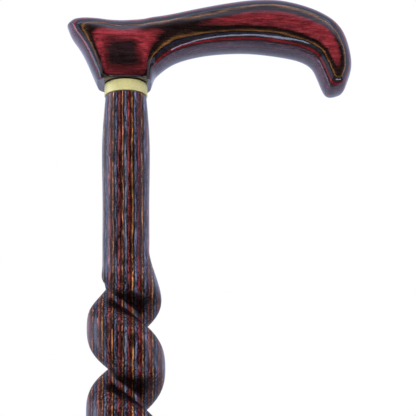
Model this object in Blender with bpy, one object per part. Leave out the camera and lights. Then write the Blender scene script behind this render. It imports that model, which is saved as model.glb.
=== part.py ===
"""Spiral walking cane with a derby handle, in metres, +Z up.

The origin is the centre of the rubber tip's sole, on the shaft's axis.
+X runs along the grip, from the shaft to the nose of the handle.
"""
import math

import bmesh
import bpy

# Whole cane
CANE_HEIGHT = 0.914
GAP = 0.0003

# Handle: carved from one laminated blank
HANDLE_HEIGHT = 0.0426
NOSE_REACH = 0.1072
HEEL_REACH = 0.0274
NECK_HALF_WIDTH = 0.0129
HANDLE_HALF_THICKNESS = 0.0127
SECTIONS_BETWEEN_RIBS = 3
SECTION_QUARTER = 6

# Brass collar between the handle and the shaft
COLLAR_HEIGHT = 0.0055
COLLAR_RADIUS = 0.0100
COLLAR_WALL = 0.0020
COLLAR_EDGE = 0.0004

# Shaft
SHAFT_TOP_RADIUS = 0.0095
BARREL_RADIUS = 0.0110
BARREL_SWELL_DEPTH = 0.027
BARREL_WAIST_RADIUS = 0.0106
BARREL_WAIST_DEPTH = 0.055
SHAFT_END_RADIUS = 0.0093

# Spiral: one left-handed groove, carved round the shaft
GROOVE_PITCH = 0.0363
GROOVE_START_DEPTH = 0.0894
GROOVE_TURNS = 14
LOBE_RADIUS = 0.0170
LOBE_RADIUS_LOW = 0.0145
LOBE_DEPTH = 0.0241
LOBE_FULLNESS = 2.55
GROOVE_FLOOR_RADIUS = 0.0076
FULL_SIZE_TURNS = 5
RUN_LENGTH = 0.0285
RUN_TILT = 0.26
SPIRAL_COLUMNS = 20
SPIRAL_ROWS = 10
ROWS_CROWD_IN_GROOVE = 0.7

# Steel dowel screw that joins the handle and the shaft
SCREW_RADIUS = 0.0040
SCREW_CORE_RADIUS = 0.0031
SCREW_PITCH = 0.0036
SCREW_IN_HANDLE = 0.020
SCREW_IN_SHAFT = 0.034
SCREW_COLUMNS = 12
SCREW_ROWS = 4
SCREW_POINT_LENGTH = 0.008
SCREW_POINT_SHARE = 0.4
HOLE_END_ROOM = 0.001
CUTTER_OVERRUN = 0.010

# Rubber tip, and the steel washer in its socket
TIP_HEIGHT = 0.040
TIP_FLOOR = 0.0095
TIP_NECK_WALL = 0.0030
TIP_SKIRT_RADIUS = 0.0165
TIP_SKIRT_HEIGHT = 0.0130
TIP_RIB_HEIGHT = 0.0009
TIP_RIBS = 3
TIP_EDGE = 0.001
SOLE_CENTRE_RADIUS = 0.0060
SOLE_GROOVE_WIDTH = 0.0022
SOLE_GROOVE_DEPTH = 0.0014
WASHER_THICKNESS = 0.0015
TURNED_STEPS = 32

# Heights that follow
NECK_Z = CANE_HEIGHT - HANDLE_HEIGHT
COLLAR_TOP_Z = NECK_Z - GAP
COLLAR_LOW_Z = COLLAR_TOP_Z - COLLAR_HEIGHT
SHOULDER_Z = COLLAR_LOW_Z - GAP
GROOVE_LEFT_Z = SHOULDER_Z - GROOVE_START_DEPTH
SPIRAL_TOP_Z = GROOVE_LEFT_Z + 0.6 * GROOVE_PITCH
SPIRAL_LOW_Z = SPIRAL_TOP_Z - (GROOVE_TURNS + 0.6) * GROOVE_PITCH
COLLAR_BORE_RADIUS = COLLAR_RADIUS - COLLAR_WALL
TENON_RADIUS = COLLAR_BORE_RADIUS - GAP
SCREW_HOLE_RADIUS = SCREW_RADIUS + GAP
SOCKET_RADIUS = SHAFT_END_RADIUS + GAP
WASHER_LOW_Z = TIP_FLOOR + GAP
SHAFT_LOW_Z = WASHER_LOW_Z + WASHER_THICKNESS + GAP

# Ribs of the handle, from the heel to the nose. Each rib is an oval with
# a top point, a middle point and a low point in the side view, then its
# share of the half thickness and how square its upper and lower halves
# are (2 is an ellipse). Lengths follow place_x and place_z below.
RIBS = [
    ((-2.00, 0.68), (-1.28, 0.54), (-2.00, 0.68), 0.86, 2.3, 2.3),
    ((-1.86, 0.74), (-1.26, 0.54), (-1.89, 0.57), 0.87, 2.3, 2.3),
    ((-1.61, 0.75), (-1.21, 0.52), (-1.73, 0.50), 0.88, 2.5, 2.3),
    ((-1.28, 0.75), (-1.08, 0.48), (-1.52, 0.39), 0.91, 2.7, 2.3),
    ((-0.92, 0.74), (-0.84, 0.40), (-1.32, 0.24), 0.95, 2.8, 2.4),
    ((-0.37, 0.73), (-0.47, 0.30), (-1.07, 0.03), 0.99, 2.9, 2.8),
    ((-0.26, 0.73), (-0.36, 0.28), (-0.97, -0.04), 1.00, 2.9, 4.0),
    ((0.00, 0.73), (-0.11, 0.28), (-0.29, -0.05), 1.00, 2.9, 5.0),
    ((0.37, 0.74), (0.26, 0.30), (0.69, -0.05), 1.00, 2.9, 5.0),
    ((0.51, 0.745), (0.40, 0.33), (0.90, -0.03), 0.98, 2.9, 4.0),
    ((0.66, 0.75), (0.55, 0.36), (0.98, 0.05), 0.96, 2.9, 2.8),
    ((0.84, 0.76), (0.73, 0.40), (1.01, 0.12), 0.93, 2.9, 2.5),
    ((1.01, 0.77), (0.99, 0.45), (1.03, 0.16), 0.91, 2.8, 2.4),
    ((1.06, 0.79), (1.05, 0.51), (1.06, 0.22), 0.89, 2.6, 2.3),
    ((1.12, 0.82), (1.11, 0.57), (1.12, 0.31), 0.88, 2.5, 2.2),
    ((1.28, 0.91), (1.28, 0.64), (1.27, 0.40), 0.90, 2.4, 2.1),
    ((1.47, 0.99), (1.46, 0.69), (1.46, 0.42), 0.94, 2.4, 2.0),
    ((1.58, 1.00), (1.56, 0.69), (1.55, 0.40), 0.95, 2.5, 2.0),
    ((1.66, 0.99), (1.64, 0.67), (1.63, 0.38), 0.95, 2.6, 2.0),
    ((1.80, 0.91), (1.77, 0.58), (1.74, 0.33), 0.94, 2.7, 2.0),
    ((1.90, 0.79), (1.86, 0.45), (1.80, 0.26), 0.94, 2.7, 2.0),
    ((1.94, 0.70), (1.88, 0.36), (1.82, 0.16), 0.93, 2.6, 2.0),
    ((1.98, 0.56), (1.90, 0.26), (1.84, 0.03), 0.92, 2.5, 2.0),
    ((2.00, 0.27), (1.91, 0.13), (1.86, -0.09), 0.90, 2.3, 2.0),
    ((1.99, 0.14), (1.91, 0.09), (1.89, -0.12), 0.89, 2.2, 2.0),
    ((1.95, -0.07), (1.91, 0.08), (1.95, -0.07), 0.88, 2.0, 2.0),
]


def clear_scene():
    for old in list(bpy.data.objects):
        bpy.data.objects.remove(old, do_unlink=True)


def make_material(name, colour, roughness, metallic=0.0):
    material = bpy.data.materials.new(name)
    material.use_nodes = True
    shader = material.node_tree.nodes["Principled BSDF"]
    shader.inputs["Base Color"].default_value = (*colour, 1.0)
    shader.inputs["Roughness"].default_value = roughness
    shader.inputs["Metallic"].default_value = metallic
    material.diffuse_color = (*colour, 1.0)
    return material


def add_object(name, bm, material, sharp_degrees=35.0):
    """Close a bmesh into a named object, smooth but for its sharp edges."""
    bmesh.ops.remove_doubles(bm, verts=bm.verts, dist=0.000002)
    bmesh.ops.dissolve_degenerate(bm, edges=bm.edges, dist=0.000002)
    bmesh.ops.recalc_face_normals(bm, faces=bm.faces)
    mesh = bpy.data.meshes.new(name)
    bm.to_mesh(mesh)
    bm.free()
    mesh.shade_smooth()
    mesh.set_sharp_from_angle(angle=math.radians(sharp_degrees))
    mesh.materials.append(material)
    piece = bpy.data.objects.new(name, mesh)
    bpy.context.scene.collection.objects.link(piece)
    return piece


def smooth_step(share):
    share = min(max(share, 0.0), 1.0)
    return share * share * (3.0 - 2.0 * share)


def mix(low, high, share):
    return low + (high - low) * share


def fair_between(before, start, end, after, share):
    """A fair curve from near start to near end, which evens out what its four values do."""
    rest = 1 - share
    return (rest ** 3 * before + (3 * share ** 3 - 6 * share ** 2 + 4) * start
            + (3 * rest ** 3 - 6 * rest ** 2 + 4) * end + share ** 3 * after) / 6


def drill(piece, name, radius, low_z, high_z):
    """Cut a round hole along the shaft's axis."""
    bm = bmesh.new()
    outline = [(0.0, low_z), (radius, low_z), (radius, high_z), (0.0, high_z)]
    turn_profile(bm, outline, SCREW_COLUMNS * 2)
    cutter = add_object(name, bm, piece.data.materials[0])
    cutter.hide_render = True
    cutter.display_type = "WIRE"
    cut = piece.modifiers.new("drill", "BOOLEAN")
    cut.operation = "DIFFERENCE"
    cut.object = cutter


def turn_profile(bm, outline, steps):
    """Turn a closed outline of (radius, height) points round the Z axis."""
    rings = []
    for radius, height in outline:
        if radius == 0.0:
            rings.append([bm.verts.new((0.0, 0.0, height))] * steps)
            continue
        angles = [2 * math.pi * step / steps for step in range(steps)]
        rings.append([bm.verts.new((radius * math.cos(a), radius * math.sin(a), height)) for a in angles])
    closed_on_axis = outline[0][0] == 0.0 and outline[-1][0] == 0.0
    pairs = len(rings) - 1 if closed_on_axis else len(rings)
    for index in range(pairs):
        join_rings(bm, rings[index], rings[(index + 1) % len(rings)])


def join_rings(bm, lower, upper):
    steps = len(lower)
    for step in range(steps):
        after = (step + 1) % steps
        corners = [lower[step], lower[after], upper[after], upper[step]]
        distinct = list(dict.fromkeys(corners))
        if len(distinct) >= 3:
            bm.faces.new(distinct)


# Handle

def place_x(share):
    """0 is the shaft's axis, 1 the neck's side, 2 the nose and -2 the heel."""
    reach = NOSE_REACH if share > 0 else HEEL_REACH
    inside = min(abs(share), 1.0) * NECK_HALF_WIDTH
    beyond = max(abs(share) - 1.0, 0.0) * (reach - NECK_HALF_WIDTH)
    return math.copysign(inside + beyond, share)


def place_z(share):
    """0 is the neck's flat end and 1 the top of the grip."""
    return NECK_Z + share * HANDLE_HEIGHT


def rib_numbers(rib):
    top, middle, low, thickness, top_power, low_power = rib
    points = [(place_x(x), place_z(z)) for x, z in (top, middle, low)]
    flat = [value for point in points for value in point]
    return flat + [thickness * HANDLE_HALF_THICKNESS, top_power, low_power]


def handle_sections(between):
    """The two end ribs, with sections faired between all the ribs."""
    ribs = [rib_numbers(rib) for rib in RIBS]
    last = len(ribs) - 1
    sections = [ribs[0]]
    for index in range(last):
        four = [ribs[max(index - 1, 0)], ribs[index], ribs[index + 1], ribs[min(index + 2, last)]]
        for step in range(between):
            share = step / between
            sections.append([fair_between(*values, share) for values in zip(*four)])
    sections.append(ribs[last])
    return sections


def section_loop(section, quarter):
    """The points of one oval, from its top round by +Y and back by -Y."""
    top_x, top_z, mid_x, mid_z, low_x, low_z, half, top_power, low_power = section
    points = []
    for step in range(4 * quarter):
        angle = 2 * math.pi * step / (4 * quarter)
        upper = math.cos(angle) > -1e-9
        power = top_power if upper else low_power
        out = 0.0 if step % (2 * quarter) == quarter else abs(math.cos(angle)) ** (2 / power)
        side = abs(math.sin(angle)) ** (2 / power) if step % (2 * quarter) else 0.0
        end_x, end_z = (top_x, top_z) if upper else (low_x, low_z)
        points.append((mix(mid_x, end_x, out), math.copysign(half * side, math.sin(angle)),
                       mix(mid_z, end_z, out)))
    return points


def make_handle(material):
    bm = bmesh.new()
    loops = [[bm.verts.new(point) for point in section_loop(section, SECTION_QUARTER)]
             for section in handle_sections(SECTIONS_BETWEEN_RIBS)]
    for loop, following in zip(loops, loops[1:]):
        join_rings(bm, loop, following)
    bmesh.ops.remove_doubles(bm, verts=bm.verts, dist=0.000005)
    bmesh.ops.dissolve_degenerate(bm, edges=bm.edges, dist=0.000005)
    drop_folded_faces(bm)
    saw_neck(bm)
    handle = add_object("handle", bm, material)
    drill(handle, "handle_hole_cutter", SCREW_HOLE_RADIUS, NECK_Z - CUTTER_OVERRUN,
          NECK_Z + SCREW_IN_HANDLE + HOLE_END_ROOM)
    return handle


def drop_folded_faces(bm):
    """Delete pairs of faces that lie on each other, where an end rib closes."""
    seen = {}
    for face in bm.faces:
        seen.setdefault(frozenset(vert.index for vert in face.verts), []).append(face)
    doubled = [face for faces in seen.values() if len(faces) > 1 for face in faces]
    bmesh.ops.delete(bm, geom=doubled, context="FACES")


def saw_neck(bm):
    """Saw the neck off level, where it meets the collar, and close the cut."""
    neck_faces = [face for face in bm.faces if face.calc_center_median().x < 1.5 * NECK_HALF_WIDTH]
    neck_edges = {edge for face in neck_faces for edge in face.edges}
    neck_verts = {vert for face in neck_faces for vert in face.verts}
    cut = bmesh.ops.bisect_plane(bm, geom=[*neck_verts, *neck_edges, *neck_faces],
                                 plane_co=(0, 0, NECK_Z), plane_no=(0, 0, -1),
                                 clear_outer=True, dist=0.000005)
    rim = [item for item in cut["geom_cut"] if isinstance(item, bmesh.types.BMEdge)]
    bmesh.ops.contextual_create(bm, geom=rim)


# Shaft

def barrel_radius(height):
    """Radius of the plain shaft, which swells under the collar and tapers to the tip."""
    depth = SHOULDER_Z - height
    if depth < BARREL_SWELL_DEPTH:
        rise = math.sin(0.5 * math.pi * max(depth, 0.0) / BARREL_SWELL_DEPTH)
        return mix(SHAFT_TOP_RADIUS, BARREL_RADIUS, rise)
    if depth < BARREL_WAIST_DEPTH:
        share = (depth - BARREL_SWELL_DEPTH) / (BARREL_WAIST_DEPTH - BARREL_SWELL_DEPTH)
        return mix(BARREL_RADIUS, BARREL_WAIST_RADIUS, smooth_step(share))
    share = (SPIRAL_TOP_Z - height) / (SPIRAL_TOP_Z - TIP_HEIGHT)
    return mix(BARREL_WAIST_RADIUS, SHAFT_END_RADIUS, min(max(share, 0.0), 1.0))


def spiral_radius(angle, height):
    """Radius of the carved surface; the groove passes the heel's side at GROOVE_LEFT_Z.

    A lobe's bulge is an oval, LOBE_DEPTH deep and squarer than an ellipse, cut off by the groove's floor.
    """
    turn = (height - GROOVE_LEFT_Z) / GROOVE_PITCH + (angle - math.pi) / (2 * math.pi)
    from_crest = abs(2 * (turn % 1.0) - 1)
    turns_down = (GROOVE_LEFT_Z - height) / GROOVE_PITCH
    taper = (turns_down - FULL_SIZE_TURNS) / (GROOVE_TURNS - FULL_SIZE_TURNS)
    lobe = mix(LOBE_RADIUS, LOBE_RADIUS_LOW, min(max(taper, 0.0), 1.0))
    bulge = (1 - from_crest ** LOBE_FULLNESS) ** (1 / LOBE_FULLNESS)
    carved = max(lobe - LOBE_DEPTH * (1 - bulge), GROOVE_FLOOR_RADIUS)
    plain = barrel_radius(height)
    lean = RUN_TILT * plain * math.cos(angle)
    run_in = smooth_step((SPIRAL_TOP_Z + lean - height) / RUN_LENGTH - RUN_TILT)
    run_out = smooth_step((height - SPIRAL_LOW_Z + lean) / RUN_LENGTH - RUN_TILT)
    return mix(plain, carved, min(run_in, run_out))


def wind_surface(bm, radius_at, low_z, high_z, pitch, hand, columns, rows, start_z, start_angle, crowding):
    """A grid whose rows climb with a helix, trimmed level at both ends.

    hand is 1 for a right-handed helix and -1 for a left-handed one. crowding brings the rows
    closer together once a turn, where the helix passes start_z; 0 spaces them evenly.
    """
    first = math.floor((low_z - start_z) / pitch * rows) - 2 * rows - 1
    final = math.ceil((high_z - start_z) / pitch * rows) + 2 * rows + 1
    grid = {}
    for column in range(columns):
        turned = column / columns
        angle = start_angle + 2 * math.pi * turned
        for row in range(first, final + 1):
            climbed = row / rows - crowding * math.sin(2 * math.pi * row / rows) / (2 * math.pi)
            height = start_z + pitch * (climbed + hand * turned)
            height = min(max(height, low_z), high_z)
            radius = radius_at(angle, height)
            grid[column, row] = bm.verts.new((radius * math.cos(angle), radius * math.sin(angle), height))
    for column in range(columns):
        for row in range(first + rows, final - rows):
            after = (column + 1, 0) if column + 1 < columns else (0, hand * rows)
            corners = [grid[column, row], grid[after[0], row + after[1]],
                       grid[after[0], row + 1 + after[1]], grid[column, row + 1]]
            bm.faces.new(corners)
    angles = [start_angle + 2 * math.pi * column / columns for column in range(columns)]
    return angles


def level_ring(bm, angles, radius, height):
    return [bm.verts.new((radius * math.cos(a), radius * math.sin(a), height)) for a in angles]


def close_ends(bm, angles, low_profile, high_profile):
    """Add level rings below and above a wound surface, and a flat face at each end."""
    for profile in (low_profile, high_profile):
        rings = [level_ring(bm, angles, radius, height) for radius, height in profile]
        for ring, following in zip(rings, rings[1:]):
            join_rings(bm, ring, following)
        bm.faces.new(rings[-1])


def make_shaft(material):
    bm = bmesh.new()
    angles = wind_surface(bm, spiral_radius, SPIRAL_LOW_Z, SPIRAL_TOP_Z, GROOVE_PITCH, -1,
                          SPIRAL_COLUMNS, SPIRAL_ROWS, GROOVE_LEFT_Z, math.pi, ROWS_CROWD_IN_GROOVE)
    swell_levels = [SHOULDER_Z - BARREL_WAIST_DEPTH * step / 8 for step in range(8, -1, -1)]
    upper = [(barrel_radius(z), z) for z in [SPIRAL_TOP_Z] + swell_levels]
    upper += [(TENON_RADIUS, SHOULDER_Z), (TENON_RADIUS, NECK_Z - GAP)]
    lower = [(barrel_radius(z), z) for z in (SPIRAL_LOW_Z, TIP_HEIGHT)]
    lower.append((SHAFT_END_RADIUS, SHAFT_LOW_Z))
    close_ends(bm, angles, lower, upper)
    shaft = add_object("shaft", bm, material)
    drill(shaft, "shaft_hole_cutter", SCREW_HOLE_RADIUS, NECK_Z - SCREW_IN_SHAFT - HOLE_END_ROOM,
          NECK_Z + CUTTER_OVERRUN)
    return shaft


# Collar, screw, tip and washer

def make_collar(material):
    bm = bmesh.new()
    outline = [
        (COLLAR_BORE_RADIUS, COLLAR_LOW_Z),
        (COLLAR_RADIUS - COLLAR_EDGE, COLLAR_LOW_Z),
        (COLLAR_RADIUS, COLLAR_LOW_Z + COLLAR_EDGE),
        (COLLAR_RADIUS, COLLAR_TOP_Z - COLLAR_EDGE),
        (COLLAR_RADIUS - COLLAR_EDGE, COLLAR_TOP_Z),
        (COLLAR_BORE_RADIUS, COLLAR_TOP_Z),
    ]
    turn_profile(bm, outline, TURNED_STEPS)
    return add_object("collar", bm, material)


def screw_radius(angle, height):
    """Radius of the wood thread, which narrows to a point at both ends."""
    turn = (height - NECK_Z) / SCREW_PITCH - angle / (2 * math.pi)
    crest = abs(2 * (turn % 1.0) - 1) ** 2
    low_end, high_end = NECK_Z - SCREW_IN_SHAFT, NECK_Z + SCREW_IN_HANDLE
    from_end = min(height - low_end, high_end - height)
    point = mix(SCREW_POINT_SHARE, 1.0, min(from_end / SCREW_POINT_LENGTH, 1.0))
    return mix(SCREW_CORE_RADIUS, SCREW_RADIUS, crest) * point


def make_screw(material):
    bm = bmesh.new()
    low_end, high_end = NECK_Z - SCREW_IN_SHAFT, NECK_Z + SCREW_IN_HANDLE
    angles = wind_surface(bm, screw_radius, low_end, high_end, SCREW_PITCH, 1,
                          SCREW_COLUMNS, SCREW_ROWS, NECK_Z, 0.0, 0.0)
    for height in (low_end, high_end):
        bm.faces.new(level_ring_on(bm, angles, height))
    return add_object("dowel_screw", bm, material, 60.0)


def level_ring_on(bm, angles, height):
    points = [(screw_radius(a, height), a) for a in angles]
    return [bm.verts.new((r * math.cos(a), r * math.sin(a), height)) for r, a in points]


def make_tip(material):
    bm = bmesh.new()
    neck_radius = SOCKET_RADIUS + TIP_NECK_WALL
    groove_out = SOLE_CENTRE_RADIUS + SOLE_GROOVE_WIDTH
    outline = [
        (0.0, 0.0),
        (SOLE_CENTRE_RADIUS, 0.0),
        (SOLE_CENTRE_RADIUS, SOLE_GROOVE_DEPTH),
        (groove_out, SOLE_GROOVE_DEPTH),
        (groove_out, 0.0),
        (TIP_SKIRT_RADIUS - TIP_EDGE, 0.0),
        (TIP_SKIRT_RADIUS, TIP_EDGE),
        (TIP_SKIRT_RADIUS, 0.4 * TIP_SKIRT_HEIGHT),
        (mix(neck_radius, TIP_SKIRT_RADIUS, 0.35), 0.75 * TIP_SKIRT_HEIGHT),
        (neck_radius, TIP_SKIRT_HEIGHT),
    ]
    rib_room = (TIP_HEIGHT - TIP_SKIRT_HEIGHT) / (TIP_RIBS + 1)
    for rib in range(1, TIP_RIBS + 1):
        middle = TIP_SKIRT_HEIGHT + rib * rib_room
        outline += [
            (neck_radius, middle - 2 * TIP_RIB_HEIGHT),
            (neck_radius + TIP_RIB_HEIGHT, middle - TIP_RIB_HEIGHT),
            (neck_radius + TIP_RIB_HEIGHT, middle + TIP_RIB_HEIGHT),
            (neck_radius, middle + 2 * TIP_RIB_HEIGHT),
        ]
    outline += [
        (neck_radius, TIP_HEIGHT - TIP_EDGE),
        (neck_radius - TIP_EDGE, TIP_HEIGHT),
        (SOCKET_RADIUS, TIP_HEIGHT),
        (SOCKET_RADIUS, TIP_FLOOR),
        (0.0, TIP_FLOOR),
    ]
    turn_profile(bm, outline, TURNED_STEPS)
    return add_object("rubber_tip", bm, material)


def make_washer(material):
    bm = bmesh.new()
    radius = SOCKET_RADIUS - GAP
    high_z = WASHER_LOW_Z + WASHER_THICKNESS
    turn_profile(bm, [(0.0, WASHER_LOW_Z), (radius, WASHER_LOW_Z), (radius, high_z), (0.0, high_z)],
                 TURNED_STEPS)
    return add_object("tip_washer", bm, material)


def build():
    clear_scene()
    handle_wood = make_material("laminated_wood_handle", (0.17, 0.03, 0.04), 0.18)
    shaft_wood = make_material("laminated_wood_shaft", (0.14, 0.06, 0.06), 0.22)
    brass = make_material("brass", (0.72, 0.66, 0.32), 0.35, 1.0)
    steel = make_material("zinc_plated_steel", (0.55, 0.56, 0.58), 0.35, 1.0)
    rubber = make_material("black_rubber", (0.02, 0.02, 0.02), 0.8)
    make_handle(handle_wood)
    make_collar(brass)
    make_screw(steel)
    make_shaft(shaft_wood)
    make_tip(rubber)
    make_washer(steel)


build()
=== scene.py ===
"""Spiral walking cane: the finished surfaces, the finishes, the studio and the camera.

Everything is in metres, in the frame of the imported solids: +Z up, the origin under the
rubber tip, +X along the grip from the shaft to the nose.
"""
import math

import bmesh
import bpy
from mathutils import Matrix, Vector


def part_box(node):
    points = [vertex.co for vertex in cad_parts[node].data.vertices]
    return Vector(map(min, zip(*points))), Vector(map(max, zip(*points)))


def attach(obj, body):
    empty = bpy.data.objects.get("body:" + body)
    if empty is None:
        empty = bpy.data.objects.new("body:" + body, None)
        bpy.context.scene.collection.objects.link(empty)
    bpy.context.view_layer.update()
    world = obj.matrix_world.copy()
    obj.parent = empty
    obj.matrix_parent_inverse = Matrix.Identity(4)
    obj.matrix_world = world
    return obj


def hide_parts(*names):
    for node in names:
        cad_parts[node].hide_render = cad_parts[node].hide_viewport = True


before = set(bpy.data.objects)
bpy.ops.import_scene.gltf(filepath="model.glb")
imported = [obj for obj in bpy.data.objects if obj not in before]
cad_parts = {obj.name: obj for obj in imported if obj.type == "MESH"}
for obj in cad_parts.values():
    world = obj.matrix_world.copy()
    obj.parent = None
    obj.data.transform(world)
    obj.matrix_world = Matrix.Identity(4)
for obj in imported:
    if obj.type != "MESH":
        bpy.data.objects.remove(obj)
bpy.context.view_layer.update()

# What the frame gives; GAP is what it leaves between neighbours
COLLAR_LOW, COLLAR_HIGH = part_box("collar")
SHAFT_LOW, SHAFT_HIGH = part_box("shaft")
TIP_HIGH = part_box("rubber_tip")[1]
GAP = 0.0003
COLLAR_RADIUS = COLLAR_HIGH[0]
SHOULDER_Z = COLLAR_LOW[2] - GAP
TIP_HEIGHT = TIP_HIGH[2]
TIP_SKIRT_RADIUS = TIP_HIGH[0]

# Shaft, as it is turned before the carving; depths are from its shoulder, under the collar
SHAFT_TOP_RADIUS = 0.0095
BARREL_RADIUS = 0.0110
BARREL_SWELL_DEPTH = 0.027
BARREL_WAIST_RADIUS = 0.0106
BARREL_WAIST_DEPTH = 0.055
SHAFT_END_RADIUS = 0.0093
TENON_RADIUS = 0.0077

# Spiral: GROOVE_START_DEPTH is where the groove first crosses the left side, GROOVE_LEAD is
# how many turns it runs above that place, and LOBE_FULLNESS is how square the lobes are
GROOVE_PITCH = 0.0363
GROOVE_START_DEPTH = 0.0894
GROOVE_TURNS = 14
GROOVE_LEAD = 0.6
GROOVE_FLOOR_RADIUS = 0.0076
GROOVE_FILLET = 0.0020
LOBE_RADIUS = 0.0173
LOBE_RADIUS_LOW = 0.0145
LOBE_DEPTH = 0.0241
LOBE_FULLNESS = 2.55
FULL_SIZE_TURNS = 5
SPIRAL_COLUMNS = 80
SPIRAL_ROWS = 28
ROWS_CROWD_IN_GROOVE = 0.6

# The carving deepens over RUN_LENGTH at both ends, and starts lower on one side by the tilts
RUN_LENGTH = 0.0285
RUN_TILT = 0.26
RUN_IN_DROP = 0.0063
RUN_IN_TILT = 0.52
RUN_IN_SWAY = 0.25

# Painted shade on the groove's walls, in turns above and below the groove's middle: where it
# begins, is full, fades and is gone. Painted light makes the floor between paler. Above the groove
# the painted shade reaches further to the right, seen from the front and from behind.
PAINTED_SHADE_ABOVE = (0.010, 0.024, 0.100, 0.190)
PAINTED_SHADE_BELOW = (0.054, 0.064, 0.120, 0.175)
PAINTED_SHADE_WIDENS = 1.0
PAINTED_SHADE_NARROWEST = 0.15
PAINTED_LIGHT_BELOW_FROM = 0.03
PAINTED_LIGHT_SHARE = 0.6
# Painted shade and light are strong where the shaft faces front or back, by the sine of the angle
PAINTED_FACING = (0.35, 0.78)
PAINTED_AT_SIDES = 0.1
# The lacquer is dull up to the first distance from the groove's middle and bright from the next
DULL_FROM_GROOVE = (0.24, 0.42)
# Painted shade, light and dullness are full where the carving has reached this share of its depth
MARKED_FROM_DEPTH = 0.3

# Collar and rubber tip
COLLAR_BORE_RADIUS = 0.0080
COLLAR_EDGE = 0.0003
COLLAR_ROWS = 4
TIP_FLOOR = 0.0095
TIP_SOCKET_RADIUS = 0.0096
TIP_NECK_RADIUS = 0.0126
TIP_SKIRT_HEIGHT = 0.0130
TIP_FOOT_SHARE = 0.4
TIP_RIB_HEIGHT = 0.0009
TIP_RIB_SPREAD = 2.0
TIP_RIBS = 3
TIP_EDGE = 0.0010
TIP_ROWS = 150
SOLE_CENTRE_RADIUS = 0.0060
SOLE_GROOVE_WIDTH = 0.0022
SOLE_GROOVE_DEPTH = 0.0014
TURNED_COLUMNS = 128
CORNER_STEPS = 4

# Meshes made by the node trees; an edge on a rim has fewer than RIM_FACES faces
SEAM = 0.000004
RIM_MARGIN = 0.0001
RIM_FACES = 1.5
SHARP_EDGE = math.radians(40)

# Handle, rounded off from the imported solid
HANDLE_SEAM = 0.000005
JOINED_FACES = math.radians(35)
JOINED_CORNERS = math.radians(50)
KEPT_CREASE = math.radians(55)
HANDLE_SHARP_EDGE = math.radians(50)
ROUNDING_LEVELS = 2

# Handle, moved against the rounded solid: how far, and the places or slopes between which
# each move begins or ends
HANDLE_SWELL = 0.00025
SWELL_FROM_AXIS = (0.010, 0.015)
UNDERSIDE_DROP = 0.00035
UNDERSIDE_SLOPE = (0.2, 0.8)
UNDERSIDE_BEGINS = (0.008, 0.016)
UNDERSIDE_ENDS = (0.070, 0.085)
NECK_HOLLOW = 0.00015
NECK_HOLLOW_BEGINS = (0.002, 0.006)
NECK_HOLLOW_ENDS = (0.008, 0.013)
NECK_HOLLOW_ABOVE = (0.872, 0.876)
GRIP_TOP_HOLLOW = 0.0003
GRIP_TOP_SLOPE = (0.05, 0.22)
GRIP_TOP_SLOPE_ENDS = (0.28, 0.50)
GRIP_TOP_BEGINS = (0.020, 0.040)

# Floor: just low enough that the tip, pulled right off, stays above it
TIP_PULL = 0.035
FLOOR_CLEARANCE = 0.001
FLOOR_Z = -TIP_PULL - FLOOR_CLEARANCE
FLOOR_REACH = 3.0

# Camera: close in front of the shaft and a little under the collar
CAMERA_DISTANCE = 0.48
CAMERA_BELOW_COLLAR = 0.1725
AIM_ASIDE = 0.0374
AIM_BELOW_COLLAR = 0.0534
CAMERA_LENS = 93.87
CAMERA_SENSOR = 36.0
CAMERA_ROLL = -1.0716
CAMERA_CLIP = 0.01


# Nodes

class Wire:
    """A number socket that adds, multiplies and so on, so that formulas read as such."""

    def __init__(self, tree, socket):
        self.tree = tree
        self.socket = socket

    def calc(self, operation, *others):
        made = self.tree.nodes.new("ShaderNodeMath")
        made.operation = operation
        for place, value in enumerate((self, *others)):
            plug(self.tree, value, made.inputs[place])
        return Wire(self.tree, made.outputs[0])

    def __add__(self, other):
        return self.calc("ADD", other)

    def __sub__(self, other):
        return self.calc("SUBTRACT", other)

    def __mul__(self, other):
        return self.calc("MULTIPLY", other)

    def __truediv__(self, other):
        return self.calc("DIVIDE", other)

    def mapped(self, low, high, to_low, to_high, shape="LINEAR"):
        """This value's place between low and high, moved to between to_low and to_high."""
        made = self.tree.nodes.new("ShaderNodeMapRange")
        made.interpolation_type = shape
        for place, value in enumerate((self, low, high, to_low, to_high)):
            plug(self.tree, value, made.inputs[place])
        return Wire(self.tree, made.outputs[0])

    def eased(self, low, high, to_low, to_high):
        """As mapped, with a soft start and end."""
        return self.mapped(low, high, to_low, to_high, "SMOOTHSTEP")


def plug(tree, value, socket):
    if isinstance(value, Wire):
        tree.links.new(value.socket, socket)
    else:
        socket.default_value = value


def node(tree, kind, inputs=None, **settings):
    made = tree.nodes.new(kind)
    for name, value in settings.items():
        setattr(made, name, value)
    for name, value in (inputs or {}).items():
        if isinstance(value, bpy.types.NodeSocket):
            tree.links.new(value, made.inputs[name])
        else:
            plug(tree, value, made.inputs[name])
    return made


def axes_of(tree, place):
    """The X, Y and Z of a place."""
    parts = node(tree, "ShaderNodeSeparateXYZ", {"Vector": place})
    return [Wire(tree, parts.outputs[axis]) for axis in "XYZ"]


# Shaping with nodes

def new_shape_tree(name, sizes):
    """A Geometry Nodes tree with one named input for each size, and wires from them."""
    tree = bpy.data.node_groups.new(name, "GeometryNodeTree")
    tree.interface.new_socket("Geometry", in_out="OUTPUT", socket_type="NodeSocketGeometry")
    for label, value in sizes.items():
        kind = "NodeSocketInt" if isinstance(value, int) else "NodeSocketFloat"
        socket = tree.interface.new_socket(label, in_out="INPUT", socket_type=kind)
        socket.default_value = value
    finish = tree.interface.new_socket("Finish", in_out="INPUT",
                                       socket_type="NodeSocketMaterial")
    finish.default_value = None
    entry = tree.nodes.new("NodeGroupInput")
    wires = {label: Wire(tree, entry.outputs[label]) for label in sizes}
    return tree, wires, entry.outputs["Finish"]


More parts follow.
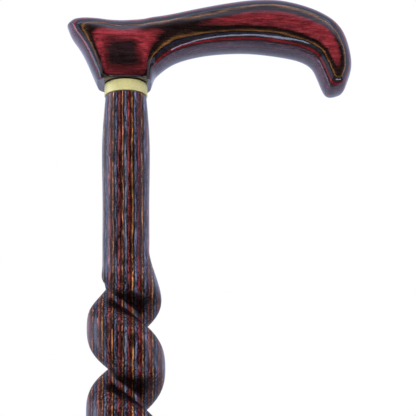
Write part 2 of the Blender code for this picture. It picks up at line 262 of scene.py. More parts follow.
def finish_tree(tree, geometry, finish):
    realize = tree.nodes.new("GeometryNodeRealizeInstances")
    paint = tree.nodes.new("GeometryNodeSetMaterial")
    leave = tree.nodes.new("NodeGroupOutput")
    tree.links.new(geometry, realize.inputs["Geometry"])
    tree.links.new(realize.outputs["Geometry"], paint.inputs["Geometry"])
    tree.links.new(finish, paint.inputs["Material"])
    tree.links.new(paint.outputs["Geometry"], leave.inputs["Geometry"])


def mesh_from_tree(name, tree, sizes, material):
    """Run a tree and keep its result as a plain mesh, smooth but for its sharp edges."""
    piece = bpy.data.objects.new(name, bpy.data.meshes.new(name))
    bpy.context.scene.collection.objects.link(piece)
    modifier = piece.modifiers.new("shape", "NODES")
    modifier.node_group = tree
    values = {**sizes, "Finish": material}
    for item in tree.interface.items_tree:
        if item.in_out == "INPUT":
            modifier[item.identifier] = values[item.name]
    mesh = keep_result(piece)
    mesh.shade_smooth()
    mesh.set_sharp_from_angle(angle=SHARP_EDGE)
    return piece


def keep_result(piece):
    """Make what the modifiers give the piece's own mesh."""
    depsgraph = bpy.context.evaluated_depsgraph_get()
    mesh = bpy.data.meshes.new_from_object(piece.evaluated_get(depsgraph), depsgraph=depsgraph)
    piece.modifiers.clear()
    piece.data = mesh
    return mesh


def unit_grid(tree, columns, rows):
    """A flat grid to wind round the axis, with how far round and how far up each point is."""
    grid = node(tree, "GeometryNodeMeshGrid", {
        "Size X": 1.0, "Size Y": 1.0, "Vertices X": columns + 1, "Vertices Y": rows + 1})
    x, y, _ = axes_of(tree, node(tree, "GeometryNodeInputPosition").outputs[0])
    return grid.outputs["Mesh"], x + 0.5, y + 0.5


def wound(tree, surface, radius, angle, height):
    """The grid's points put round the axis, and its seam closed."""
    moved = node(tree, "GeometryNodeSetPosition", {
        "Geometry": surface, "Position": point_on_circle(tree, radius, angle, height)})
    return merged(tree, moved.outputs[0])


def merged(tree, geometry):
    return node(tree, "GeometryNodeMergeByDistance", {
        "Geometry": geometry, "Distance": SEAM}).outputs[0]


def point_on_circle(tree, radius, angle, height):
    spot = node(tree, "ShaderNodeCombineXYZ", {
        "X": radius * angle.calc("COSINE"), "Y": radius * angle.calc("SINE"), "Z": height})
    return spot.outputs["Vector"]


def constant(tree, number):
    made = tree.nodes.new("ShaderNodeValue")
    made.outputs[0].default_value = number
    return Wire(tree, made.outputs[0])


def draw_end(tree, geometry, level, upward, stations):
    """Carry an open rim on through level rings of (radius, height), to a point on the axis."""
    x, y, height = axes_of(tree, node(tree, "GeometryNodeInputPosition").outputs[0])
    near = height.calc("GREATER_THAN" if upward else "LESS_THAN", level)
    faces = Wire(tree, node(tree, "GeometryNodeInputMeshEdgeNeighbors").outputs[0])
    rim = (near * faces.calc("LESS_THAN", RIM_FACES)).socket
    angle = y.calc("ARCTAN2", x)
    for radius, station in stations:
        drawn = node(tree, "GeometryNodeExtrudeMesh", {
            "Mesh": geometry, "Selection": rim, "Offset Scale": 0.0}, mode="EDGES")
        rim = drawn.outputs["Top"]
        moved = node(tree, "GeometryNodeSetPosition", {
            "Geometry": drawn.outputs["Mesh"], "Selection": rim,
            "Position": point_on_circle(tree, constant(tree, radius), angle, station)})
        geometry = moved.outputs["Geometry"]
    return geometry


# Shaft

SHAFT_SIZES = {
    "Columns": SPIRAL_COLUMNS,
    "Rows a turn": SPIRAL_ROWS,
    "Turns": GROOVE_TURNS,
    "Pitch": GROOVE_PITCH,
    "Lobe radius": LOBE_RADIUS,
    "Lobe radius at the foot": LOBE_RADIUS_LOW,
    "Floor radius": GROOVE_FLOOR_RADIUS,
    "Fillet": GROOVE_FILLET,
    "Barrel radius": BARREL_RADIUS,
    "Waist radius": BARREL_WAIST_RADIUS,
    "Foot radius": SHAFT_END_RADIUS,
}


def turned_radius(size, height, spiral_top_z):
    """The shaft before the carving: a swelling barrel with a waist, and a long taper."""
    depth = height * -1.0 + SHOULDER_Z
    swelling = depth.mapped(0.0, BARREL_SWELL_DEPTH, 0.0, math.pi / 2).calc("SINE")
    narrowing = depth.eased(BARREL_SWELL_DEPTH, BARREL_WAIST_DEPTH, 0.0, 1.0)
    tapering = height.mapped(TIP_HEIGHT, spiral_top_z, 1.0, 0.0)
    return (swelling * (size["Barrel radius"] - SHAFT_TOP_RADIUS) + SHAFT_TOP_RADIUS
            + narrowing * (size["Waist radius"] - size["Barrel radius"])
            + tapering * (size["Foot radius"] - size["Waist radius"]))


def carved_radius(size, turns, turns_down):
    """Round lobes between the crossings of the groove, slimmer towards the foot."""
    from_crest = (turns.calc("FRACT") * 2.0 - 1.0).calc("ABSOLUTE")
    bulge = (from_crest.calc("POWER", LOBE_FULLNESS) * -1.0 + 1.0).calc("POWER", 1 / LOBE_FULLNESS)
    lobe = turns_down.mapped(FULL_SIZE_TURNS, size["Turns"], size["Lobe radius"],
                             size["Lobe radius at the foot"])
    wall = (bulge - 1.0) * LOBE_DEPTH + lobe
    return wall.calc("SMOOTH_MAX", size["Floor radius"], size["Fillet"])


def groove_painted_shade_and_dullness(turns, angle):
    """Groove's painted shade, below 0 for painted light on its floor, and the lacquer's dullness.
    """
    above, below = turns.calc("FRACT"), turns.calc("FRACT") * -1.0 + 1.0
    to_the_right = angle.calc("COSINE") * angle.calc("SINE").calc("SIGN") * -1.0
    widening = (to_the_right * PAINTED_SHADE_WIDENS + 1.0).calc("MAXIMUM", PAINTED_SHADE_NARROWEST)
    sides = []
    for near, far, (edge, full, fading, gone) in (
            (above, above / widening, PAINTED_SHADE_ABOVE), (below, below, PAINTED_SHADE_BELOW)):
        sides.append(near.eased(edge, full, 0.0, 1.0) * far.eased(fading, gone, 1.0, 0.0))
    painted_shading = sides[0].calc("MAXIMUM", sides[1])
    painted_light = above.mapped(0.0, PAINTED_SHADE_ABOVE[1], 1.0, 0.0).calc(
        "MAXIMUM", below.mapped(PAINTED_LIGHT_BELOW_FROM, PAINTED_SHADE_BELOW[1], 1.0, 0.0))
    facing = angle.calc("SINE").calc("ABSOLUTE").eased(*PAINTED_FACING, PAINTED_AT_SIDES, 1.0)
    painted_shading = (painted_shading - painted_light * PAINTED_LIGHT_SHARE) * facing
    dull = above.calc("MINIMUM", below).eased(*DULL_FROM_GROOVE, 1.0, 0.0)
    return painted_shading, dull


def shaft_tree():
    """A surface of helical rows, carved with one left-handed groove, then closed at both ends."""
    tree, size, finish = new_shape_tree("wound_shaft", SHAFT_SIZES)
    groove_left_z = SHOULDER_Z - GROOVE_START_DEPTH
    spiral_top_z = groove_left_z + GROOVE_LEAD * GROOVE_PITCH
    pitch = size["Pitch"]
    spiral_low_z = (size["Turns"] + GROOVE_LEAD) * pitch * -1.0 + spiral_top_z
    turns_above = math.ceil((SHOULDER_Z - groove_left_z) / GROOVE_PITCH) + 1
    turns_below = math.ceil((groove_left_z - SHAFT_LOW[2]) / GROOVE_PITCH) + 1
    all_turns = turns_above + turns_below

    surface, turned, risen = unit_grid(tree, size["Columns"], size["Rows a turn"] * all_turns)
    climbed = risen * all_turns - turns_below
    ripple = (climbed * 2 * math.pi).calc("SINE") * (ROWS_CROWD_IN_GROOVE / (2 * math.pi))
    height = (climbed - ripple - turned) * pitch + groove_left_z
    height = height.calc("MAXIMUM", SHAFT_LOW[2]).calc("MINIMUM", SHOULDER_Z)
    angle = turned * (2 * math.pi) + math.pi

    plain = turned_radius(size, height, spiral_top_z)
    turns = (height - groove_left_z) / pitch + turned
    carved = carved_radius(size, turns, (height * -1.0 + groove_left_z) / pitch)

    aside = angle.calc("COSINE")
    lean = plain * aside * RUN_TILT
    start = plain * aside * RUN_IN_TILT + (spiral_top_z - RUN_IN_DROP)
    run_in = (start - height) / (aside * RUN_IN_SWAY + 1.0) / RUN_LENGTH
    run_out = (height - spiral_low_z + lean) / RUN_LENGTH - RUN_TILT
    depth = run_in.eased(0.0, 1.0, 0.0, 1.0).calc("MINIMUM", run_out.eased(0.0, 1.0, 0.0, 1.0))
    radius = (carved - plain) * depth + plain

    # Painted shade on the groove's walls and painted light on its floor, with the lacquer's
    # dullness
    marked = depth.mapped(0.0, MARKED_FROM_DEPTH, 0.0, 1.0)
    painted_shading, dull = groove_painted_shade_and_dullness(turns, angle)
    for name, amount in (("groove_painted_shading", painted_shading), ("groove_dullness", dull)):
        stored = node(tree, "GeometryNodeStoreNamedAttribute", {
            "Geometry": surface, "Name": name}, data_type="FLOAT", domain="POINT")
        plug(tree, amount * marked, stored.inputs["Value"])
        surface = stored.outputs[0]

    closed = draw_end(tree, wound(tree, surface, radius, angle, height), SHOULDER_Z - RIM_MARGIN,
                      True, [(TENON_RADIUS, SHOULDER_Z), (TENON_RADIUS, SHAFT_HIGH[2]),
                             (0.0, SHAFT_HIGH[2])])
    closed = draw_end(tree, closed, SHAFT_LOW[2] + RIM_MARGIN, False, [(0.0, SHAFT_LOW[2])])
    finish_tree(tree, merged(tree, closed), finish)
    return tree


# Turned pieces

def turned_tree(name, sizes, rows, low, high, radius_at, lower_end, upper_end):
    """A wall turned round the axis from low to high, carried on through the rings of its ends."""
    tree, size, finish = new_shape_tree(name, sizes)
    surface, turned, risen = unit_grid(tree, size["Columns"], rows)
    height = risen * (high - low) + low
    angle = turned * (2 * math.pi)
    wall = wound(tree, surface, radius_at(size, height), angle, height)
    middle = (low + high) / 2
    closed = draw_end(tree, wall, middle, True, upper_end)
    closed = draw_end(tree, closed, middle, False, lower_end)
    finish_tree(tree, merged(tree, closed), finish)
    return tree


def rounded_corner(radius, height, edge, upward):
    """Rings of (radius, height) round the corner between a wall and its flat end."""
    way = 1 if upward else -1
    angles = [math.pi / 2 * step / CORNER_STEPS for step in range(1, CORNER_STEPS + 1)]
    return [(radius - edge * (1 - math.cos(a)), height - way * edge * (1 - math.sin(a)))
            for a in angles]


COLLAR_SIZES = {"Columns": TURNED_COLUMNS, "Radius": COLLAR_RADIUS}


def collar_tree():
    low, high = COLLAR_LOW[2], COLLAR_HIGH[2]
    bore = (COLLAR_BORE_RADIUS, (low + high) / 2)
    lower_end, upper_end = (
        rounded_corner(COLLAR_RADIUS, end, COLLAR_EDGE, upward) + [(COLLAR_BORE_RADIUS, end), bore]
        for end, upward in ((low, False), (high, True)))
    return turned_tree(
        "turned_collar", COLLAR_SIZES, COLLAR_ROWS, low + COLLAR_EDGE, high - COLLAR_EDGE,
        lambda size, height: size["Radius"], lower_end, upper_end)


TIP_SIZES = {
    "Columns": TURNED_COLUMNS,
    "Ribs": TIP_RIBS,
    "Rib height": TIP_RIB_HEIGHT,
    "Neck radius": TIP_NECK_RADIUS,
    "Skirt radius": TIP_SKIRT_RADIUS,
    "Skirt height": TIP_SKIRT_HEIGHT,
}


def tip_radius(size, height):
    """A straight foot that draws in to the neck, and ribs at even distances up the neck."""
    drawn_in = height.eased(size["Skirt height"] * TIP_FOOT_SHARE, size["Skirt height"], 1.0, 0.0)
    room = (size["Skirt height"] * -1.0 + TIP_HEIGHT) / (size["Ribs"] + 1.0)
    spaces_up = (height - size["Skirt height"]) / room
    nearest = spaces_up.calc("ROUND").calc("MAXIMUM", 1.0).calc("MINIMUM", size["Ribs"])
    away = (spaces_up - nearest).calc("ABSOLUTE") * room
    rib = away.eased(size["Rib height"], size["Rib height"] * TIP_RIB_SPREAD, 1.0, 0.0)
    return (size["Neck radius"] + drawn_in * (size["Skirt radius"] - size["Neck radius"])
            + rib * size["Rib height"])


def tip_tree():
    groove_out = SOLE_CENTRE_RADIUS + SOLE_GROOVE_WIDTH
    sole = [(groove_out, 0.0), (groove_out, SOLE_GROOVE_DEPTH),
            (SOLE_CENTRE_RADIUS, SOLE_GROOVE_DEPTH), (SOLE_CENTRE_RADIUS, 0.0), (0.0, 0.0)]
    socket = [(TIP_SOCKET_RADIUS, TIP_HEIGHT), (TIP_SOCKET_RADIUS, TIP_FLOOR), (0.0, TIP_FLOOR)]
    return turned_tree(
        "ribbed_tip", TIP_SIZES, TIP_ROWS, TIP_EDGE, TIP_HEIGHT - TIP_EDGE, tip_radius,
        rounded_corner(TIP_SKIRT_RADIUS, 0.0, TIP_EDGE, False) + sole,
        rounded_corner(TIP_NECK_RADIUS, TIP_HEIGHT, TIP_EDGE, True) + socket)


# Finishes

def new_finish(name, roughness, metallic=0.0, coat=0.0, coat_roughness=0.05):
    material = bpy.data.materials.new(name)
    material.use_nodes = True
    shader = material.node_tree.nodes["Principled BSDF"]
    shader.inputs["Roughness"].default_value = roughness
    shader.inputs["Metallic"].default_value = metallic
    shader.inputs["Coat Weight"].default_value = coat
    shader.inputs["Coat Roughness"].default_value = coat_roughness
    return material, material.node_tree, shader


def own_place(tree):
    """The place in the piece's own coordinates."""
    return node(tree, "ShaderNodeTexCoord").outputs["Object"]


def noise(tree, place, scale, detail):
    made = node(tree, "ShaderNodeTexNoise", {"Vector": place, "Scale": scale, "Detail": detail})
    return Wire(tree, made.outputs["Fac"])


def drawn_out(tree, place, features):
    """A place for noise with this many features a metre along X, Y and Z."""
    stretch = node(tree, "ShaderNodeMapping", {"Vector": place})
    stretch.inputs["Scale"].default_value = features
    return stretch.outputs["Vector"]


def shade(tree, shader, colour, value, **changes):
    """Set the shader's colour, made brighter or darker by value."""
    shaded = node(tree, "ShaderNodeHueSaturation", {"Color": colour, "Value": value, **changes})
    tree.links.new(shaded.outputs["Color"], shader.inputs["Base Color"])


def relief(tree, height, strength, depth, socket):
    bump = node(tree, "ShaderNodeBump", {
        "Height": height, "Strength": strength, "Distance": depth})
    tree.links.new(bump.outputs["Normal"], socket)


# Grain of the veneers: features a metre along the grain and across it, and detail
GLUE_LINE_WAVES = (80, 260, 2.0)
GLUE_LINE_FIBRES = (110, 1100, 2.0)
GRAIN_STRETCHES = (70, 500, 2.0)
GRAIN_DASHES = (190, 1700, 2.0)
GRAIN_PORES = (420, 2600, 1.0)
GRAIN_FLECKS = (1100, 2200, 1.0)
GRAIN_GAPS = (130, 900, 2.0)
FIBRE_RELIEF = (160, 2600, 4.0)
LACQUER_RIPPLE = (120, 420, 1.0)

# What the grain does to the dye: the noise between which it acts, and how much at boldness 1
VENEER_SHADES = (0.0, 1.0, 0.3)
STRETCH_SHADES = (0.35, 0.65, 0.6)
DASH_SHADES = (0.38, 0.62, 0.8)
PORE_SHADES = (0.54, 0.66, 0.7)
FLECK_SHADES = (0.58, 0.72, 1.3)
GAP_NOISE = (0.42, 0.62)
# How far a veneer's own hue and saturation lie from its dye's, at boldness 1
DYE_HUE = (-0.012, 0.010)
DYE_SATURATION = (-0.08, 0.2)
SAME_HUE = 0.5
SAME_SATURATION = 1.0

# Brightness of the groove's floor under painted light and of its walls under full painted shade,
# and the coat that is left where the lacquer is dull
GROOVE_PAINTED_SHADING = (1.88, 0.12)
DULL_COAT = 0.2

PLIES_A_REPEAT = 3
VENEER_EDGE = 0.04
CORE_EDGE = 0.6
WOOD_ROUGHNESS = 0.5
WOOD_SPECULAR = 0.05
FIBRE_BUMP = (0.35, 0.00005)
LACQUER_BUMP = (0.55, 0.00010)


def veneer_colour(tree, repeat, shades):
    """The dyes through one repeat of the veneers; shades lists (place in plies, colour)."""
    ramp = node(tree, "ShaderNodeValToRGB", {"Fac": repeat})
    band = ramp.color_ramp
    for index, (spot, colour) in enumerate(shades):
        place = spot / PLIES_A_REPEAT
        element = band.elements[index] if index < 2 else band.elements.new(place)
        element.position = place
        element.color = (*colour, 1.0)
    return ramp.outputs["Color"]


def with_core(tree, plies, colour, core):
    """The colour with the duller veneers inside the block."""
    first, last, core_colour, share = core
    inside = (plies.mapped(first, first + CORE_EDGE, 0.0, share)
              * plies.mapped(last - CORE_EDGE, last, 1.0, 0.0))
    mix = node(tree, "ShaderNodeMix", {"Factor": inside}, data_type="RGBA")
    tree.links.new(colour, mix.inputs["A"])
    mix.inputs["B"].default_value = (*core_colour, 1.0)
    return mix.outputs["Result"]


def veneer_finish(name, across, along, start, ply, shades, gloss, lacquer_ior, waver, streaks,
                  boldness, broken=None, grooved=False, painted_shade=None, core=None):
    """Dyed veneers glued in parallel planes, under lacquer.

    across and along are the axes across the plies and along their grain.
    start is where the first ply begins, and ply is its thickness.
    waver and streaks are how far the glue lines wander, in plies, in long waves and in fibres.
    boldness is how much one stretch of grain, and one veneer, differs from the next.
    broken is (first place, last place, share) of the veneer whose grain comes in dashes.
    painted_shade gives painted shade and light from the X and Z of a place on the piece.
    core is (first ply, last ply, colour, share) of the duller veneers inside the block.
    """
    material, tree, shader = new_finish(name, WOOD_ROUGHNESS, coat=1.0, coat_roughness=gloss)
    shader.inputs["Specular IOR Level"].default_value = WOOD_SPECULAR
    shader.inputs["Coat IOR"].default_value = lacquer_ior
    place = own_place(tree)
    axes = axes_of(tree, place)
    depth = axes["XYZ".index(across)]

    def grain(lengthways, sideways, detail):
        features = [sideways] * 3
        features["XYZ".index(along)] = lengthways
        return noise(tree, drawn_out(tree, place, features), 1.0, detail)

    def varied(wire, low, high, share):
        return wire.mapped(low, high, 1.0 - share * boldness, 1.0 + share * boldness)

    plies = ((depth - start) / ply + (grain(*GLUE_LINE_WAVES) - 0.5) * waver
             + (grain(*GLUE_LINE_FIBRES) - 0.5) * streaks)
    repeat = (plies / PLIES_A_REPEAT).calc("FRACT")
    own = node(tree, "ShaderNodeTexWhiteNoise", {"W": plies.calc("FLOOR")},
               noise_dimensions="1D")
    own_hue, own_saturation, _ = axes_of(tree, own.outputs["Color"])

    value = (varied(Wire(tree, own.outputs["Value"]), *VENEER_SHADES)
             * varied(grain(*GRAIN_STRETCHES), *STRETCH_SHADES)
             * varied(grain(*GRAIN_DASHES), *DASH_SHADES))
    low, high, share = PORE_SHADES
    value = value * grain(*GRAIN_PORES).mapped(low, high, 1.0, 1.0 - share * boldness)
    low, high, share = FLECK_SHADES
    value = value + grain(*GRAIN_FLECKS).mapped(low, high, 0.0, share * boldness)
    if broken:
        first, last, share = (broken[0] / PLIES_A_REPEAT, broken[1] / PLIES_A_REPEAT, broken[2])
        inside = (repeat.mapped(first, first + VENEER_EDGE, 0.0, share)
                  * repeat.mapped(last - VENEER_EDGE, last, 1.0, 0.0))
        value = value * (inside * grain(*GRAIN_GAPS).mapped(*GAP_NOISE, 0.0, -1.0) + 1.0)
    # Painted shade on the groove's walls and painted light on its floor, from the shaft's points
    if grooved:
        painted_shading, dull = (
            Wire(tree, node(tree, "ShaderNodeAttribute", attribute_name=mark).outputs["Fac"])
            for mark in ("groove_painted_shading", "groove_dullness"))
        value = value * painted_shading.mapped(-1.0, 1.0, *GROOVE_PAINTED_SHADING)
        plug(tree, dull.mapped(0.0, 1.0, 1.0, DULL_COAT), shader.inputs["Coat Weight"])
    # Painted shade and light on the handle, by the place
    if painted_shade:
        value = value * painted_shade(axes[0], axes[2])

    colour = veneer_colour(tree, repeat, shades)
    if core:
        colour = with_core(tree, plies, colour, core)
    hue, saturation = ([middle + change * boldness for change in changes]
                       for middle, changes in ((SAME_HUE, DYE_HUE),
                                               (SAME_SATURATION, DYE_SATURATION)))
    shade(tree, shader, colour, value, Hue=own_hue.mapped(0.0, 1.0, *hue),
          Saturation=own_saturation.mapped(0.0, 1.0, *saturation))

    relief(tree, grain(*FIBRE_RELIEF), *FIBRE_BUMP, shader.inputs["Normal"])
    relief(tree, grain(*LACQUER_RIPPLE), *LACQUER_BUMP, shader.inputs["Coat Normal"])
    return material


# Painted shade and light on the handle: over the collar, up the neck, then along the grip to the
# nose
NECK_SHADES = (0.58, 1.42)
NECK_SHADES_RISE = (COLLAR_HIGH[2] + 0.002, COLLAR_HIGH[2] + 0.020)
NECK_SHADES_END = (0.012, 0.030)
NOSE_SHADE = 1.25
NOSE_SHADE_BEGINS = (0.080, 0.100)


def neck_painted_shade(x, z):
    """Painted shade just over the collar and painted light up the neck; lighter towards the nose.
    """
    neck = z.eased(*NECK_SHADES_RISE, *NECK_SHADES)
    along = x.eased(*NECK_SHADES_END, 0.0, 1.0)
    nose = x.mapped(*NOSE_SHADE_BEGINS, 1.0, NOSE_SHADE)
    return neck * (along * -1.0 + 1.0) + along * nose


# Red, dark and tan, then blue-grey and dark
HANDLE_SHADES = [
    (0.00, (0.030, 0.007, 0.008)), (0.20, (0.080, 0.008, 0.010)), (0.42, (0.190, 0.016, 0.024)),
    (0.75, (0.170, 0.014, 0.020)), (0.94, (0.050, 0.007, 0.008)), (1.06, (0.008, 0.004, 0.004)),
    (1.38, (0.018, 0.009, 0.006)), (1.52, (0.060, 0.029, 0.012)), (1.66, (0.195, 0.093, 0.037)),
    (1.80, (0.105, 0.049, 0.021)), (1.92, (0.008, 0.005, 0.004)), (2.20, (0.014, 0.015, 0.026)),
    (2.52, (0.012, 0.012, 0.020)), (2.68, (0.018, 0.008, 0.009)),
]
# Blue-grey, then red, then tan between dark lines
SHAFT_SHADES = [
    (0.00, (0.010, 0.008, 0.010)), (0.18, (0.066, 0.068, 0.110)), (0.45, (0.082, 0.088, 0.150)),
    (0.80, (0.040, 0.040, 0.066)), (0.97, (0.018, 0.010, 0.012)), (1.16, (0.165, 0.050, 0.047)),
    (1.45, (0.178, 0.044, 0.037)), (1.74, (0.070, 0.016, 0.012)), (2.05, (0.042, 0.011, 0.008)),
    (2.26, (0.060, 0.024, 0.014)), (2.42, (0.365, 0.168, 0.080)), (2.56, (0.410, 0.190, 0.082)),
    (2.70, (0.100, 0.044, 0.024)), (2.86, (0.009, 0.005, 0.005)),
]
HANDLE_WOOD = veneer_finish(
    "laminated_wood_handle", "Y", "X", start=-0.01265, ply=0.001143, shades=HANDLE_SHADES,
    gloss=0.09, lacquer_ior=1.5, waver=0.5, streaks=0.22, boldness=0.45,
    painted_shade=neck_painted_shade, core=(3.9, 18.3, (0.090, 0.048, 0.084), 0.65))
SHAFT_WOOD = veneer_finish(
    "laminated_wood_shaft", "X", "Z", start=-0.00075, ply=0.00145, shades=SHAFT_SHADES,
    gloss=0.22, lacquer_ior=1.42, waver=0.75, streaks=0.3, boldness=1.0,
    broken=(2.20, 2.80, 0.75), grooved=True)

# Metal and rubber: most of the noise lies between these values
NOISE_SPAN = (0.3, 0.7)
TURNING_MARKS = (120.0, 120.0, 9000.0)
POLISH_CLOUDS = 900.0
METAL_ROUGHNESS_SHARES = (0.85, 1.2)
METAL_BUMP = (0.3, 0.00003)
RUBBER_GRAIN = 2600.0
RUBBER_BLOOM = 160.0
RUBBER_SHADES = (0.7, 1.5)
RUBBER_PLAIN_ROUGHNESS = 0.65
RUBBER_ROUGHNESS = (0.58, 0.78)
RUBBER_BUMP = (0.4, 0.00006)


def brushed_metal(name, colour, roughness, metallic, unevenness):
    """Metal with faint turning marks round the axis and a slightly cloudy polish."""
    material, tree, shader = new_finish(name, roughness, metallic)
    place = own_place(tree)
    marks = noise(tree, drawn_out(tree, place, TURNING_MARKS), 1.0, 2.0)
    cloud = noise(tree, place, POLISH_CLOUDS, 3.0)
    shade(tree, shader, (*colour, 1.0),
          cloud.mapped(*NOISE_SPAN, 1.0 - unevenness, 1.0 + unevenness))
    smoother, rougher = (roughness * share for share in METAL_ROUGHNESS_SHARES)
    plug(tree, marks.mapped(*NOISE_SPAN, smoother, rougher), shader.inputs["Roughness"])
    relief(tree, marks, *METAL_BUMP, shader.inputs["Normal"])
    return material


def moulded_rubber(name, colour):
    """Dull black rubber with a fine grain and the grey bloom of handling."""
    material, tree, shader = new_finish(name, RUBBER_PLAIN_ROUGHNESS)
    place = own_place(tree)
    skin = noise(tree, place, RUBBER_GRAIN, 2.0)
    bloom = noise(tree, place, RUBBER_BLOOM, 4.0)
    shade(tree, shader, (*colour, 1.0), bloom.mapped(*NOISE_SPAN, *RUBBER_SHADES))
    plug(tree, bloom.mapped(*NOISE_SPAN, *RUBBER_ROUGHNESS), shader.inputs["Roughness"])
    relief(tree, skin, *RUBBER_BUMP, shader.inputs["Normal"])
    return material


BRASS = brushed_metal("brass", (0.86, 0.79, 0.36), roughness=0.50, metallic=0.45, unevenness=0.05)
STEEL = brushed_metal("zinc_plated_steel", (0.55, 0.56, 0.58), roughness=0.35, metallic=1.0,
                      unevenness=0.08)
RUBBER = moulded_rubber("black_rubber", (0.022, 0.022, 0.023))


# Pieces

def eased(value, low, high):
    share = min(max((value - low) / (high - low), 0.0), 1.0)
    return share * share * (3 - 2 * share)


def swell(mesh):
    """Give back what the rounding took, fill out the grip's underside and hollow its shoulders.

    The end on the collar keeps its size.
    """
    normals = [vertex.normal.copy() for vertex in mesh.vertices]
    for vertex, normal in zip(mesh.vertices, normals):
        x, y, z = vertex.co
        aside = eased(math.hypot(x, y), *SWELL_FROM_AXIS)
        under = (eased(-normal.z, *UNDERSIDE_SLOPE) * eased(x, *UNDERSIDE_BEGINS)
                 * (1.0 - eased(x, *UNDERSIDE_ENDS)))
        hollow = (abs(normal.y) * eased(x, *NECK_HOLLOW_BEGINS)
                  * (1.0 - eased(x, *NECK_HOLLOW_ENDS)) * eased(z, *NECK_HOLLOW_ABOVE))
        shoulder = (eased(normal.z, *GRIP_TOP_SLOPE)
                    * (1.0 - eased(normal.z, *GRIP_TOP_SLOPE_ENDS)) * eased(x, *GRIP_TOP_BEGINS))
        vertex.co += normal * (HANDLE_SWELL * aside - NECK_HOLLOW * hollow)
        vertex.co.z -= UNDERSIDE_DROP * under
        vertex.co.y -= math.copysign(GRIP_TOP_HOLLOW * shoulder, y)


def make_handle():
    """The carved handle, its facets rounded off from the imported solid."""
    bm = bmesh.new()
    bm.from_mesh(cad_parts["handle"].data)
    bmesh.ops.remove_doubles(bm, verts=bm.verts, dist=HANDLE_SEAM)
    bmesh.ops.join_triangles(bm, faces=bm.faces, angle_face_threshold=JOINED_FACES,
                             angle_shape_threshold=JOINED_CORNERS, cmp_seam=False,
                             cmp_sharp=False, cmp_uvs=False, cmp_vcols=False,
                             cmp_materials=False)
    crease = bm.edges.layers.float.new("crease_edge")
    for edge in bm.edges:
        if edge.is_manifold and edge.calc_face_angle() > KEPT_CREASE:
            edge[crease] = 1.0
    mesh = bpy.data.meshes.new("carved_handle")
    bm.to_mesh(mesh)
    bm.free()
    piece = bpy.data.objects.new("carved_handle", mesh)
    bpy.context.scene.collection.objects.link(piece)
    rounding = piece.modifiers.new("rounding", "SUBSURF")
    rounding.levels = rounding.render_levels = ROUNDING_LEVELS
    smooth = keep_result(piece)
    swell(smooth)
    smooth.shade_smooth()
    smooth.set_sharp_from_angle(angle=HANDLE_SHARP_EDGE)
    smooth.materials.clear()
    smooth.materials.append(HANDLE_WOOD)
    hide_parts("handle")
    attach(piece, "cane")


def make_shaft():
    piece = mesh_from_tree("carved_shaft", shaft_tree(), SHAFT_SIZES, SHAFT_WOOD)
    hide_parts("shaft")
    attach(piece, "cane")


def make_collar():
    piece = mesh_from_tree("turned_collar", collar_tree(), COLLAR_SIZES, BRASS)
    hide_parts("collar")
    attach(piece, "cane")


def make_tip():
    piece = mesh_from_tree("ribbed_tip", tip_tree(), TIP_SIZES, RUBBER)
    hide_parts("rubber_tip")
    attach(piece, "tip")


def paint_solid(name, material):
    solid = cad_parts[name]
    solid.data.materials.clear()
    solid.data.materials.append(material)


# Studio

WHITE = (1.0, 1.0, 1.0)
GLOSS_TINT = (0.66, 0.72, 1.0)
SKY_ON_OBJECT = 0.2

GRIP = (0.03, 0.0, 0.86)
MIDDLE = (0.0, 0.0, 0.5)
# (name, place, aim, width, height, power) of the lamps that light the dye and don't show in
# the gloss, and then of those that show in the gloss alone
SOFT_LAMPS = [
    ("left_light", (-1.35, -0.75, 1.15), GRIP, 1.4, 1.8, 13.0),
    ("right_light", (1.35, -0.75, 1.05), GRIP, 1.4, 1.8, 8.0),
    ("front_light", (0.0, -1.2, 0.95), GRIP, 0.5, 0.5, 8.5),
    ("back_light", (-0.5, 1.6, 1.0), MIDDLE, 1.6, 1.8, 10.0),
]
GLOSS_LAMPS = [
    ("low_light", (0.20, -0.55, 0.26), GRIP, 0.9, 0.09, 2.0),
    ("left_edge_light", (-1.4, 0.2, 0.9), GRIP, 0.35, 1.5, 5.0),
]

# Card behind the camera, dark below and glowing above, over a height between these two
CARD_CENTRE = (0.0, -1.5, 2.3)
CARD_SIZE = (5.0, 4.6)
CARD_BLACK = (0.003, 0.003, 0.003)
CARD_GLOW = 3.0
CARD_GLOW_HEIGHTS = (1.8, 4.4)

# Floor: its own colour to the lamps' light and to the camera, what it glows to the camera
# by the distance from the cane, and what it glows in the gloss from front to back
FLOOR_PALE = (0.15, 0.85)
FLOOR_ROUGHNESS = 0.9
FLOOR_FADES = (0.3, 1.5)
FLOOR_SHOWN = (0.32, 1.0)
FLOOR_IN_GLOSS_FROM = (-0.25, 0.15)
FLOOR_IN_GLOSS = (0.0, 1.2)


def add_lamp(name, place, aim, width, height, power, in_gloss):
    data = bpy.data.lights.new(name, "AREA")
    data.color = GLOSS_TINT if in_gloss else WHITE
    data.shape = "RECTANGLE"
    data.size, data.size_y = width, height
    data.energy = power
    lamp = bpy.data.objects.new(name, data)
    lamp.location = place
    lamp.visible_camera = False
    lamp.visible_glossy = in_gloss
    lamp.visible_diffuse = not in_gloss
    lamp.rotation_euler = (Vector(aim) - Vector(place)).to_track_quat("-Z", "Y").to_euler()
    bpy.context.scene.collection.objects.link(lamp)


def card_finish(name):
    """Black below and glowing above, with so soft a change that no edge shows in the gloss."""
    material, tree, shader = new_finish(name, 1.0)
    shader.inputs["Base Color"].default_value = (*CARD_BLACK, 1.0)
    shader.inputs["Emission Color"].default_value = (*GLOSS_TINT, 1.0)
    z = axes_of(tree, own_place(tree))[2]
    plug(tree, z.eased(*CARD_GLOW_HEIGHTS, 0.0, CARD_GLOW), shader.inputs["Emission Strength"])
    return material


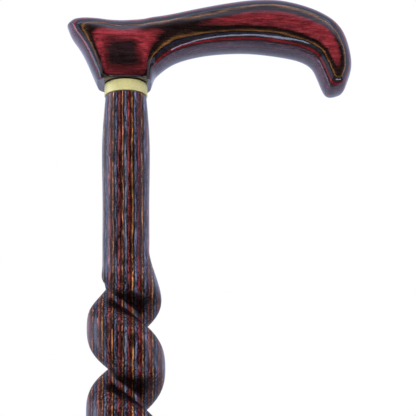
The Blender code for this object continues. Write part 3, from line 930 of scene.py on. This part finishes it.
def add_card(name, centre, width, height):
    """A dark card behind the camera: gloss that faces it stays deep, and nothing else sees it."""
    x, y, z = centre
    mesh = bpy.data.meshes.new(name)
    corners = [(x + a * width / 2, y, z + b * height / 2)
               for a, b in ((-1, -1), (1, -1), (1, 1), (-1, 1))]
    mesh.from_pydata(corners, [], [(0, 1, 2, 3)])
    mesh.materials.append(card_finish(name))
    card = bpy.data.objects.new(name, mesh)
    card.visible_camera = card.visible_diffuse = False
    card.visible_shadow = card.visible_transmission = False
    bpy.context.scene.collection.objects.link(card)


def seen_by(tree, *kinds):
    """1 for each of these kinds of ray, else 0."""
    rays = node(tree, "ShaderNodeLightPath")
    return [Wire(tree, rays.outputs[f"Is {kind} Ray"]) for kind in kinds]


def cooler_in_gloss(tree, glossy):
    """White, but with the photograph's cool cast where it is mirrored in the lacquer."""
    tint = node(tree, "ShaderNodeMix", {"Factor": glossy}, data_type="RGBA")
    tint.inputs["A"].default_value = (*WHITE, 1.0)
    tint.inputs["B"].default_value = (*GLOSS_TINT, 1.0)
    return tint.outputs["Result"]


def floor_finish():
    """Pale to the camera and in gloss, and dull to the light that it throws up at the cane."""
    material, tree, shader = new_finish("pale_floor", FLOOR_ROUGHNESS)
    camera, glossy = seen_by(tree, "Camera", "Glossy")
    plug(tree, camera.mapped(0.0, 1.0, *FLOOR_PALE), shader.inputs["Base Color"])
    x, y, _ = axes_of(tree, own_place(tree))
    behind = y.eased(*FLOOR_IN_GLOSS_FROM, *FLOOR_IN_GLOSS)
    away = (x * x + y * y).calc("SQRT").eased(*FLOOR_FADES, *FLOOR_SHOWN)
    plug(tree, glossy * behind + camera * away, shader.inputs["Emission Strength"])
    tree.links.new(cooler_in_gloss(tree, glossy), shader.inputs["Emission Color"])
    return material


def light_the_sky():
    """White where it is seen, straight, in gloss or through something, and dim as a light."""
    world = bpy.data.worlds.new("studio")
    bpy.context.scene.world = world
    world.use_nodes = True
    tree = world.node_tree
    sky = tree.nodes["Background"]
    camera, glossy, through = seen_by(tree, "Camera", "Glossy", "Transmission")
    seen = camera.calc("MAXIMUM", glossy).calc("MAXIMUM", through)
    plug(tree, seen.mapped(0.0, 1.0, SKY_ON_OBJECT, 1.0), sky.inputs["Strength"])
    tree.links.new(cooler_in_gloss(tree, glossy), sky.inputs["Color"])


def lay_floor():
    bm = bmesh.new()
    bmesh.ops.create_grid(bm, x_segments=1, y_segments=1, size=FLOOR_REACH,
                          matrix=Matrix.Translation((0.0, 0.0, FLOOR_Z)))
    mesh = bpy.data.meshes.new("floor")
    bm.to_mesh(mesh)
    bm.free()
    floor = bpy.data.objects.new("floor", mesh)
    mesh.materials.append(floor_finish())
    bpy.context.scene.collection.objects.link(floor)


def build_studio():
    bpy.context.scene.view_settings.view_transform = "Standard"
    light_the_sky()
    lay_floor()
    add_card("dark_card", CARD_CENTRE, *CARD_SIZE)
    for lamp in SOFT_LAMPS:
        add_lamp(*lamp, in_gloss=False)
    for lamp in GLOSS_LAMPS:
        add_lamp(*lamp, in_gloss=True)


def set_camera():
    place = Vector((0.0, -CAMERA_DISTANCE, COLLAR_LOW[2] - CAMERA_BELOW_COLLAR))
    aim = Vector((AIM_ASIDE, 0.0, COLLAR_LOW[2] - AIM_BELOW_COLLAR))
    data = bpy.data.cameras.new("camera")
    data.lens = CAMERA_LENS
    data.sensor_width = CAMERA_SENSOR
    data.clip_start = CAMERA_CLIP
    camera = bpy.data.objects.new("camera", data)
    turn = (aim - place).to_track_quat("-Z", "Y").to_matrix().to_4x4()
    roll = Matrix.Rotation(math.radians(CAMERA_ROLL), 4, "Z")
    camera.matrix_world = Matrix.Translation(place) @ turn @ roll
    bpy.context.scene.collection.objects.link(camera)
    bpy.context.scene.camera = camera


make_handle()
make_shaft()
make_collar()
make_tip()
paint_solid("dowel_screw", STEEL)
paint_solid("tip_washer", STEEL)
build_studio()
set_camera()
